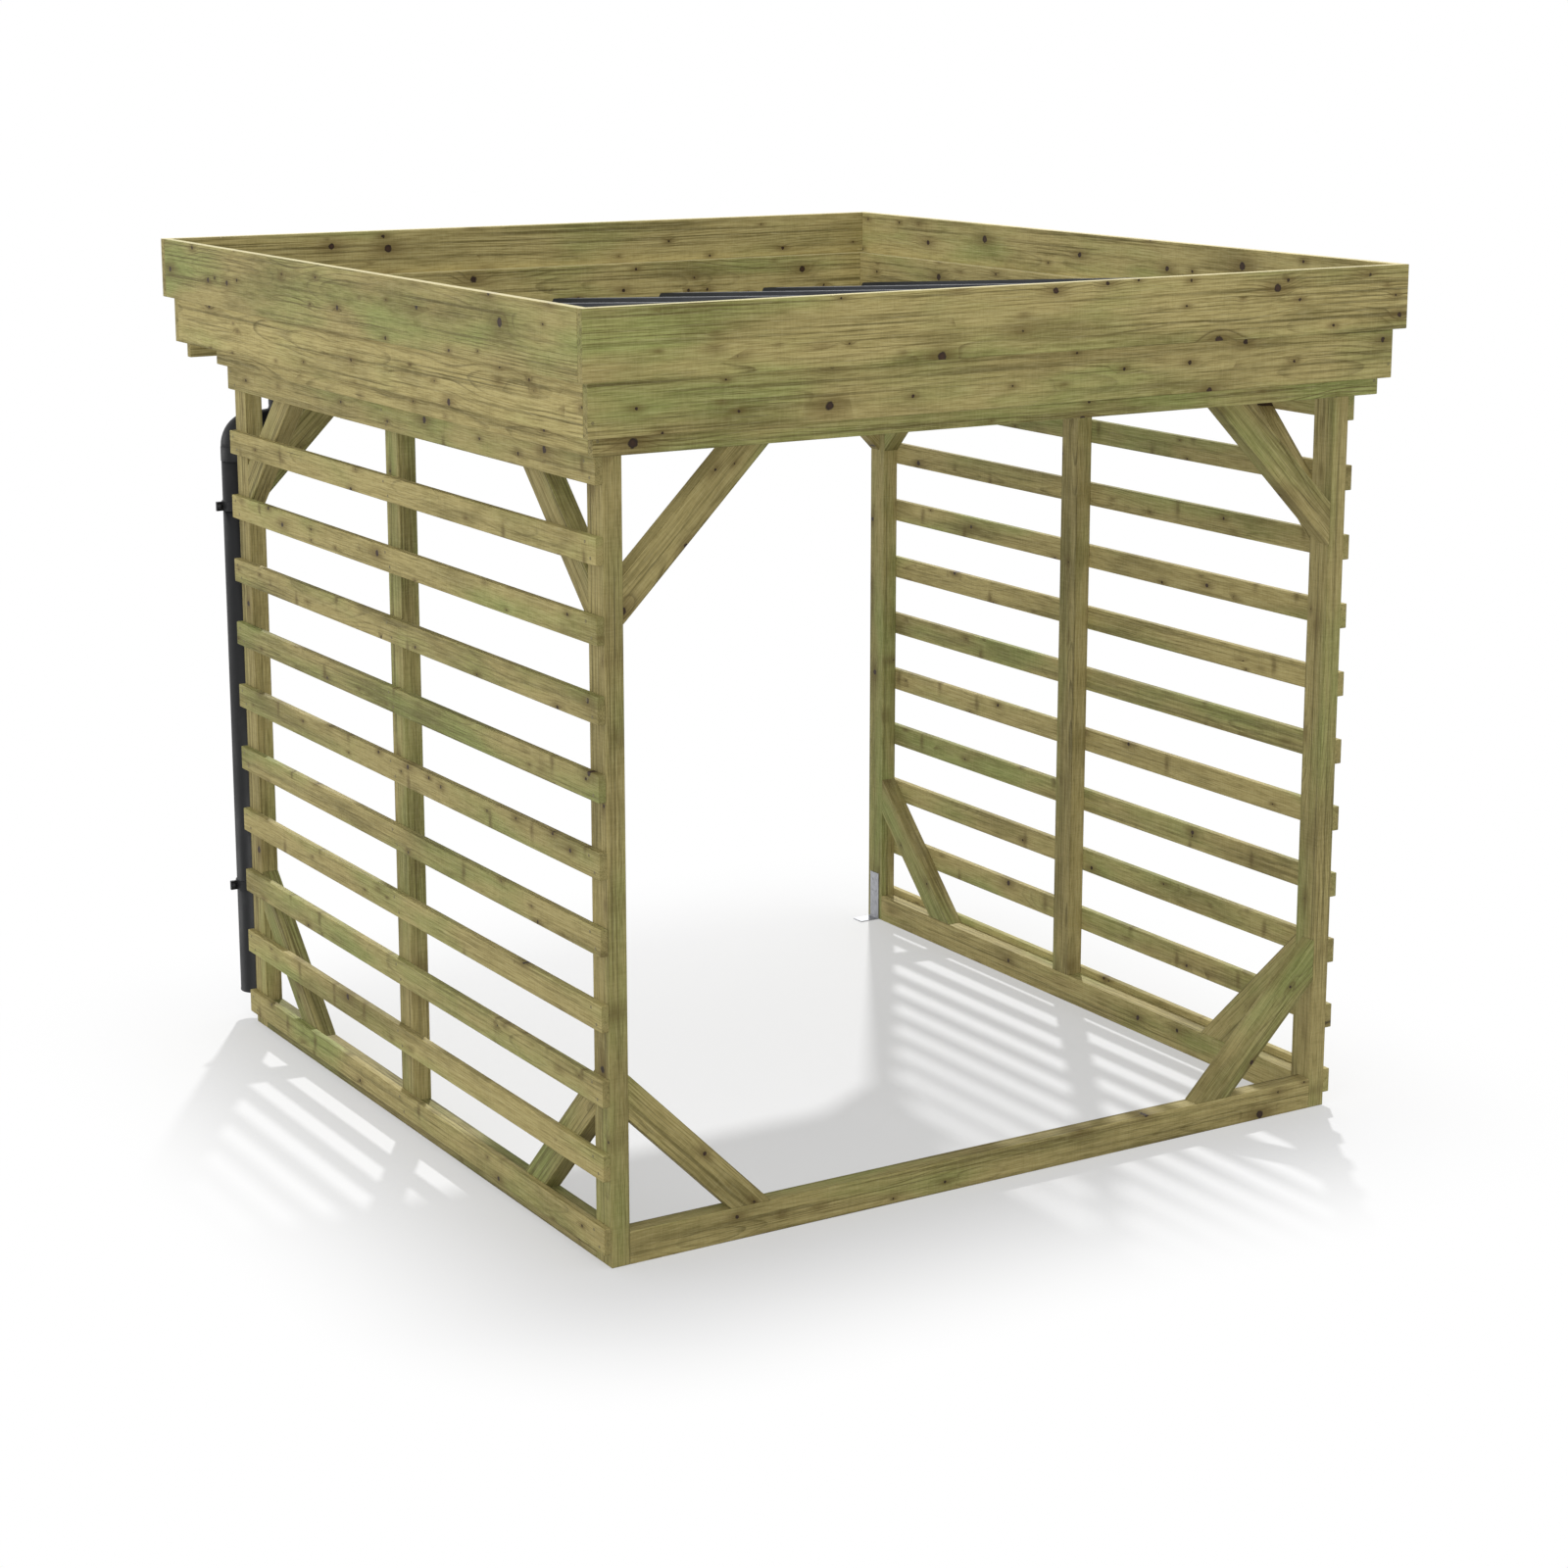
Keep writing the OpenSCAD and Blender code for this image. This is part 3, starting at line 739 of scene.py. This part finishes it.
def ribbed_sheet():
    """The roof sheet with pressed, rounded rib edges, shallow swages between the ribs, and its screws."""
    bm = node_mesh("roof_sheet")
    # The long folds between faces that are wide enough for a rounded edge.
    pressed = [e for e in bm.edges if e.calc_length() > 1.0 and e.calc_face_angle(0) > math.radians(20)
               and all(f.calc_area() / e.calc_length() > 0.005 for f in e.link_faces)]
    bmesh.ops.bevel(bm, geom=pressed, offset=RIB_ROUNDING, segments=3, profile=0.5, affect="EDGES")
    for f in bm.faces:
        f.smooth = True
    keep_faces_flat(finish(new_piece("roof_sheet_steel", bm), "roof_steel", "roof_sheet"))

    low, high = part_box("roof_sheet")
    solid = [v.co for v in frame["nodes"]["roof_sheet"].data.vertices]
    ends = sorted({round(co.y, 5) for co in solid})
    crowns = sorted({round(co.x, 4) for co in solid if co.z > high.z - 0.0005})
    ribs = [(a + b) / 2 for a, b in zip(crowns[::2], crowns[1::2])]
    fall = (high.z - low.z - RIB_RISE - SHEET) / (ends[-1] - ends[0])

    def valley(y):
        """Height of the sheet's upper face between the ribs."""
        return high.z - RIB_RISE - fall * (y - ends[0])

    bm = bmesh.new()
    for a, b in zip(ribs, ribs[1:]):
        for x in (a + (b - a) * share for share in SWAGE_SHARES):
            near, far = ([bm.verts.new((x + dx, y, valley(y) + dz)) for dx, dz in SWAGE]
                         for y in (ends[0] + SWAGE_END, ends[-1] - SWAGE_END))
            bar(bm, near, far)
    bmesh.ops.recalc_face_normals(bm, faces=bm.faces)
    finish(new_piece("roof_swages", bm), "roof_steel")

    front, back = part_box("front_beam")
    half_beam = (back.y - front.y) / 2
    first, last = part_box("purlins")
    rows = [middle_of("front_beam", 1), middle_of("back_beam", 1), first.y + half_beam, last.y - half_beam]
    spots = [((x + SCREW_BESIDE_RIB * (1 if x < LAST_RIB_FROM else -1), y, valley(y)), (0, fall, 1))
             for y in rows for x in ribs]
    fasteners("roof_screws", spots, ROOF_SCREW, "roof_steel")


# ---------------------------------------------------------------- drainage

# The bends of the neck, as in the solids, and the steps of one bend.
BEND_RADIUS = 0.046
BEND_ANGLE = math.radians(87)
BEND_STEPS = 10
# The length of a socket, the wall of the pipes, and the sides of a pipe and of a rolled rim.
SOCKET = 0.038
WALL = 0.0012
PIPE_SIDES = 48
RIM_SIDES = 12

# The pipe stands this far inside its own rolled foot, and the neck inside its sockets.
PIPE_INSET = 0.0008
NECK_INSET = 0.0004
# Outline of the rolled foot: inward from the solid's radius, and up from the foot.
ROLLED_FOOT = [(0.0030, 0.001), (0.0015, 0.0), (0.0, 0.0015), (0.0, 0.0045), (PIPE_INSET, 0.0060)]
# Outline of the folded seam: along the pipe's face, and out from it.
SEAM = [(-0.004, -0.0006), (-0.0025, 0.0007), (0.0025, 0.0007), (0.004, -0.0006)]
# The radius of the gutter's rolled rims.
RIM_BEAD = 0.0042


def downpipe():
    """The downpipe with its folded seam and rolled foot."""
    low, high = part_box("downpipe")
    centre = Vector((middle_of("downpipe", 0), middle_of("downpipe", 1), 0))
    radius = (high.x - low.x) / 2
    body = radius - PIPE_INSET
    foot, top = low.z, high.z
    outline = [(radius - inward, foot + up) for inward, up in ROLLED_FOOT]
    outline += [(body, top), (body - WALL, top), (body - WALL, foot + ROLLED_FOOT[-1][1]), outline[0]]
    bm = bmesh.new()
    lathe(bm, outline, PIPE_SIDES, Matrix.Translation(centre))
    upper, lower = ([bm.verts.new(centre + Vector((dx, body + dy, z))) for dx, dy in SEAM]
                    for z in (top - 0.001, foot + 0.007))
    bridge(bm, upper, lower)
    bmesh.ops.remove_doubles(bm, verts=bm.verts, dist=1e-7)
    finish(new_piece("downpipe_steel", bm), "drain_steel", "downpipe")
    return centre, radius, top


def neck(centre, radius, top):
    """The bent neck between the downpipe and the gutter outlet, with its three sockets."""
    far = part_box("pipe_neck")[1]
    head = Vector((far.x - radius, far.y - radius, far.z))
    level = Vector((head.x - centre.x, head.y - centre.y, 0))
    out, level = level.length, level.normalized()
    run = (out - 2 * BEND_RADIUS * (1 - math.cos(BEND_ANGLE))) / math.sin(BEND_ANGLE)
    rise = 2 * BEND_RADIUS * math.sin(BEND_ANGLE) + run * math.cos(BEND_ANGLE)
    start = Vector((centre.x, centre.y, top))
    end = start + level * out + UP * rise
    bend = []
    for i in range(BEND_STEPS + 1):
        lean = BEND_ANGLE * i / BEND_STEPS
        step = level * (BEND_RADIUS * (1 - math.cos(lean))) + UP * (BEND_RADIUS * math.sin(lean))
        bend.append((step, level * math.sin(lean) + UP * math.cos(lean)))
    path = [(start + step, way) for step, way in bend]
    path += [(end - step, way) for step, way in reversed(bend)]
    path.append((Vector((end.x, end.y, head.z)), UP))
    bm = bmesh.new()
    sweep(bm, path, radius - NECK_INSET, radius - NECK_INSET - WALL, PIPE_SIDES)
    # Sockets: over the top of the downpipe, at the foot of the riser and around the gutter outlet.
    socket = [(radius - PIPE_INSET, 0.0), (radius + 0.0002, 0.0010), (radius + 0.0004, SOCKET - 0.0020),
              (radius + 0.0002, SOCKET - 0.0004), (radius - PIPE_INSET, SOCKET)]
    for spot, way in ((start, -UP), (end, UP), (path[-1][0], -UP)):
        lathe(bm, socket, PIPE_SIDES, standing(spot, way))
    finish(new_piece("pipe_neck_steel", bm), "drain_steel", "pipe_neck")


def gutter_rim():
    """The gutter's rolled rims and the screws of its brackets."""
    near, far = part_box("gutter")
    bm = bmesh.new()
    for y in (near.y + RIM_BEAD, far.y - RIM_BEAD):
        line = [(Vector((x, y, far.z - RIM_BEAD)), Vector((1, 0, 0))) for x in (near.x + 0.003, far.x - 0.003)]
        sweep(bm, line, RIM_BEAD, RIM_BEAD - 0.001, RIM_SIDES)
    finish(new_piece("gutter_rim", bm), "drain_steel")

    low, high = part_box("gutter_brackets")
    half_bracket, thick = 0.0125, 0.004
    spots = [((x, low.y + thick, high.z - drop), (0, 1, 0))
             for x in (low.x + half_bracket, (low.x + high.x) / 2, high.x - half_bracket)
             for drop in (0.012, 0.028)]
    fasteners("gutter_screws", spots, WOOD_SCREW, "galvanised", SCREW_STEEL)


def clip_bolts():
    """A bolt through the ears of each clip."""
    low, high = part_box("pipe_clips")
    half_clip, ear, from_end = 0.012, 0.004, 0.009
    x, y = low.x + from_end, middle_of("downpipe", 1)
    spots = []
    for z in (low.z + half_clip, high.z - half_clip):
        spots += [((x, y + sign * ear, z), (0, sign, 0)) for sign in (-1, 1)]
    fasteners("clip_bolts", spots, BOLT, "drain_steel")


# ---------------------------------------------------------------- foot brackets

# The brackets' thickness, the radius of the inner side of their bend, and the heights of their screws.
BRACKET = 0.0025
BRACKET_BEND = 0.004
BRACKET_SCREW_HEIGHTS = (0.050, 0.084, 0.118)


def foot_details():
    """The bend and the screws of the two foot brackets."""
    low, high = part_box("foot_brackets")
    outline = [(-0.0004, -0.0004)]
    for angle in range(0, 91, 15):
        turn = math.radians(angle)
        outline.append((BRACKET_BEND - BRACKET_BEND * math.sin(turn), BRACKET_BEND - BRACKET_BEND * math.cos(turn)))
    bm = bmesh.new()
    spots = []
    for way, face in ((1, low.x), (-1, high.x)):
        x = face + way * BRACKET
        near, far = ([bm.verts.new((x + way * a, y, BRACKET + b)) for a, b in outline]
                     for y in (low.y + 0.0002, high.y - 0.0002))
        for i, side in enumerate(bar(bm, near, far)):
            side.smooth = 0 < i < len(outline) - 1
        spots += [((x, y, z), (way, 0, 0)) for y in (low.y + 0.012, high.y - 0.012)
                  for z in BRACKET_SCREW_HEIGHTS]
    bmesh.ops.recalc_face_normals(bm, faces=bm.faces)
    finish(new_piece("foot_bends", bm), "galvanised")
    fasteners("foot_screws", spots, WOOD_SCREW, "galvanised")


def metal_nodes():
    """The steel solids that stay as they are get their material."""
    for node, slot in FINISH.items():
        solid = frame["nodes"][node]
        if slot in STEEL_SLOTS and not solid.hide_render:
            solid.data.materials.clear()
            solid.data.materials.append(MATERIALS[slot])


for timber in TIMBER:
    dressed_boards(timber)
ribbed_sheet()
neck(*downpipe())
gutter_rim()
clip_bolts()
foot_details()
board_screws()
metal_nodes()


# ---------------------------------------------------------------- camera

# The camera of the photograph, from a fit to the store's corners: where it stands and how it looks.
CAMERA_PLACE = (-3.9998, -6.6945, 2.6431)
CAMERA_TURN = -31.453
CAMERA_DROP = 12.051
CAMERA_LENS = 72.07
CAMERA_SENSOR = 36.0
CAMERA_SHIFT = -0.0630
CAMERA_FAR = 200.0

lens = bpy.data.cameras.new("camera")
lens.sensor_width = CAMERA_SENSOR
lens.lens = CAMERA_LENS
lens.shift_y = CAMERA_SHIFT
lens.clip_end = CAMERA_FAR
camera = bpy.data.objects.new("camera", lens)
camera.rotation_euler = (math.radians(90 - CAMERA_DROP), 0.0, math.radians(CAMERA_TURN))
camera.location = CAMERA_PLACE
bpy.context.scene.collection.objects.link(camera)
bpy.context.scene.camera = camera


# ---------------------------------------------------------------- studio

WHITE = (1, 1, 1, 1)

# The sky's strength at the horizon, how much it rises overhead, and the direction in which it rises.
SKY_LEVEL = 0.42
SKY_RISE = 0.45
SKY_LEAN = (-0.20, 0.05, 1.00)

# Name, strength, width in degrees and direction of each lamp: a sun behind on the right, and two wide soft
# fills without shadows, which reach under the roof as well.
LAMPS = (("sun", 2.9, 2.2, (-0.588, -0.908, -1.0)),
         ("front_fill", 1.3, 30.0, (0.38, 0.82, -0.48)),
         ("left_fill", 0.95, 34.0, (0.80, -0.58, -0.03)))

# The floor lies just under the feet. Its colour differs for the light that it throws back and for the eye.
FLOOR_HALF = 60.0
FLOOR_DROP = 0.0005
FLOOR_LIT = (0.42, 0.42, 0.42, 1)
FLOOR_SEEN = (0.65, 0.65, 0.655, 1)

# The floor's shadow fades to white over this distance around a box under the store.
FADE_SHIFT = (0.0, 0.08, 0.0)
FADE_BOX = (0.95, 0.98, 0.0)
FADE_REACH = 0.78
GLOW_NEAR = 0.34


def seen_directly(g):
    """1 for camera, glossy and transmission rays, 0 for the light that falls on the object."""
    path = g.nodes.new("ShaderNodeLightPath").outputs
    either = g.math("MAXIMUM", path["Is Camera Ray"], path["Is Glossy Ray"])
    return g.math("MAXIMUM", either, path["Is Transmission Ray"])


def background(g, strength):
    """A white sky of this strength."""
    node = g.nodes.new("ShaderNodeBackground")
    node.inputs["Color"].default_value = WHITE
    g.feed(node.inputs["Strength"], strength)
    return node.outputs[0]


def sky():
    """A sky that is brighter overhead for the light on the object, and plain white to the eye."""
    world = bpy.data.worlds.new("studio")
    bpy.context.scene.world = world
    g = Graph(world)
    way = g.nodes.new("ShaderNodeTexCoord").outputs["Generated"]
    level = g.math("MULTIPLY_ADD", g.vector("DOT_PRODUCT", way, SKY_LEAN), SKY_RISE, SKY_LEVEL)
    output = g.nodes.new("ShaderNodeOutputWorld")
    g.feed(output.inputs["Surface"], g.mix_shaders(seen_directly(g), background(g, level), background(g, 1.0)))


def lamps():
    """The sun and the soft fills."""
    for name, strength, width, towards in LAMPS:
        light = bpy.data.lights.new(name, "SUN")
        light.energy = strength
        light.angle = math.radians(width)
        light.use_shadow = name == "sun"
        lamp = bpy.data.objects.new(name, light)
        lamp.rotation_euler = Vector(towards).to_track_quat("-Z", "Y").to_euler()
        bpy.context.scene.collection.objects.link(lamp)


def floor_paint():
    """A matt pale floor that keeps the store's shadow and glows white further out."""
    paint = bpy.data.materials.new("floor")
    g = Graph(paint)
    seen = seen_directly(g)
    matt = g.nodes.new("ShaderNodeBsdfDiffuse")
    g.feed(matt.inputs["Color"], g.mix(seen, FLOOR_LIT, FLOOR_SEEN))
    glow = g.nodes.new("ShaderNodeEmission")
    spot = g.vector("ABSOLUTE", g.vector("ADD", g.place(), FADE_SHIFT))
    outside = g.vector("MAXIMUM", g.vector("SUBTRACT", spot, FADE_BOX), (0.0, 0.0, 0.0))
    outside = g.vector("LENGTH", g.vector("MULTIPLY", outside, (1.0, 1.0, 0.0)))
    share = g.math("MULTIPLY", seen, g.slope(outside, 0.0, FADE_REACH, GLOW_NEAR, 1.0))
    output = g.nodes.new("ShaderNodeOutputMaterial")
    g.feed(output.inputs["Surface"], g.mix_shaders(share, matt.outputs[0], glow.outputs[0]))
    return paint


def studio_floor():
    """One large flat face under the store."""
    mesh = bpy.data.meshes.new("floor")
    mesh.from_pydata([(x * FLOOR_HALF, y * FLOOR_HALF, 0) for x, y in ((-1, -1), (1, -1), (1, 1), (-1, 1))],
                     [], [(0, 1, 2, 3)])
    floor = bpy.data.objects.new("floor", mesh)
    floor.location.z = -FLOOR_DROP
    bpy.context.scene.collection.objects.link(floor)
    mesh.materials.append(floor_paint())


bpy.context.scene.view_settings.view_transform = "Standard"
sky()
lamps()
studio_floor()
